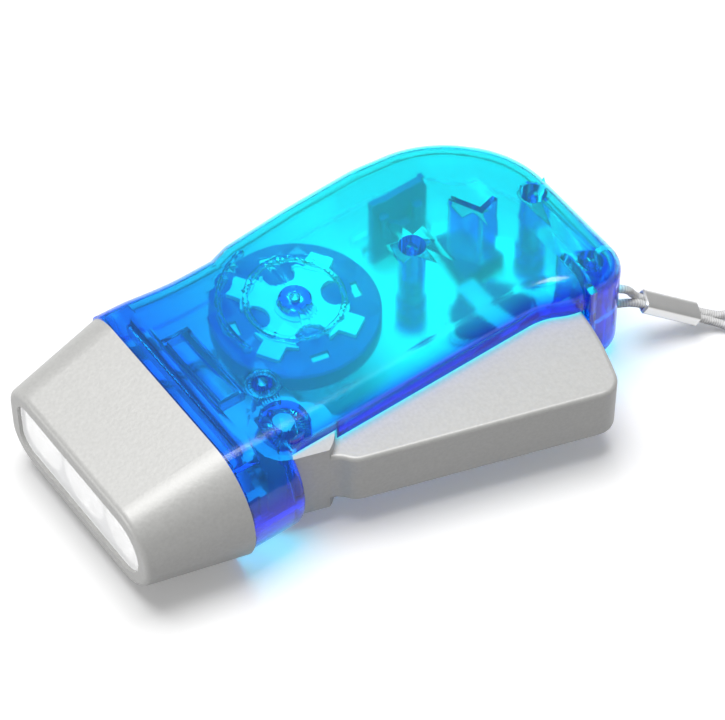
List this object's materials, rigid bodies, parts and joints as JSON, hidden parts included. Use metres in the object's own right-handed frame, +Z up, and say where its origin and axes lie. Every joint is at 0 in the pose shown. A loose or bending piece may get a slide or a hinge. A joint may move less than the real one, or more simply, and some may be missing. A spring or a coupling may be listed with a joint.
{
  "type": "squeeze-lever dynamo flashlight",
  "caption": "Hand-powered flashlight: a sprung squeeze lever turns a flywheel generator through speed-up gears in a translucent case, with a wide clear lamp window and a wrist cord.",
  "frame": {"origin": "centre of the torch's bounding box in plan, at the underside it lies on; the wrist cord is left out", "axes": "+X from the lamp end to the tail, -Y the lever's side, +Z up from the lower shell to the upper shell"},
  "size_m": [0.1498, 0.0764, 0.027],
  "materials": {
    "blue_shell": "translucent blue moulded plastic, polished",
    "silver_plastic": "plastic with a satin silver paint",
    "clear_lens": "clear polished plastic",
    "mirror_finish": "metallised plastic",
    "lamp_resin": "clear cast resin",
    "circuit_board": "green board",
    "steel": "drawn steel",
    "plated_steel": "bright plated",
    "white_plastic": "white moulded plastic",
    "copper_wire": "enamelled copper",
    "wire_insulation": "coloured insulation",
    "white_cord": "braided cord",
    "dark_metal": "dark coated metal",
    "magnet": "dark sintered magnet"
  },
  "bodies": {
    "housing": {"upper_shell": "blue_shell", "lower_shell": "blue_shell", "nose_bezel": "silver_plastic", "lens": "clear_lens", "reflector": "mirror_finish", "led_near": "lamp_resin", "led_middle": "lamp_resin", "led_far": "lamp_resin", "led_board": "circuit_board", "case_screws": "steel", "first_axle": "steel", "second_axle": "steel", "stator_lower": "plated_steel", "stator_upper": "plated_steel", "coil_bobbin": "white_plastic", "coil_winding": "copper_wire", "button_cell": "plated_steel", "cell_clip": "plated_steel", "charge_board": "circuit_board", "lead_wires": "wire_insulation", "lanyard_ferrule": "plated_steel", "wrist_cord": "white_cord", "wrist_cord_coil": "white_cord"},
    "lever": {"lever": "silver_plastic", "sector_gear": "white_plastic", "return_spring": "steel"},
    "first_gear": {"first_gear": "white_plastic"},
    "second_gear": {"second_gear": "white_plastic"},
    "drive_pinion": {"drive_pinion": "white_plastic"},
    "flywheel": {"flywheel_shaft": "steel", "ratchet_crown": "white_plastic", "rotor_magnet": "magnet", "flywheel_disc": "dark_metal", "flywheel_hub": "white_plastic"}
  },
  "joints": [
    {"name": "lever_squeeze", "type": "hinge", "parent": "housing", "child": "lever", "pos_m": [-0.0196, -0.0078, 0.0135], "axis": [0, 0, 1], "range_deg": [0, 17.6], "stiffness_Nm_per_rad": 0.05, "springref_deg": -20.05, "deforming": ["return_spring"]},
    {"name": "first_gear_spin", "type": "hinge", "parent": "housing", "child": "first_gear", "pos_m": [-0.0179, 0.0011, 0.0105], "axis": [0, 0, 1], "range_deg": [-46.26, 0]},
    {"name": "second_gear_spin", "type": "hinge", "parent": "housing", "child": "second_gear", "pos_m": [-0.01335, 0.01166, 0.007], "axis": [0, 0, 1], "range_deg": [0, 217.86]},
    {"name": "drive_pinion_spin", "type": "hinge", "parent": "housing", "child": "drive_pinion", "pos_m": [-0.002, 0.0135, 0.01], "axis": [0, 0, 1], "range_deg": [-783, 0]},
    {"name": "flywheel_spin", "type": "hinge", "parent": "housing", "child": "flywheel", "pos_m": [-0.002, 0.0135, 0.01], "axis": [0, 0, 1], "continuous": true}
  ],
  "couplings": [
    {"joint": "first_gear_spin", "follows": "lever_squeeze", "ratio": -2.6},
    {"joint": "second_gear_spin", "follows": "lever_squeeze", "ratio": 12.35},
    {"joint": "drive_pinion_spin", "follows": "lever_squeeze", "ratio": -44.46}
  ]
}
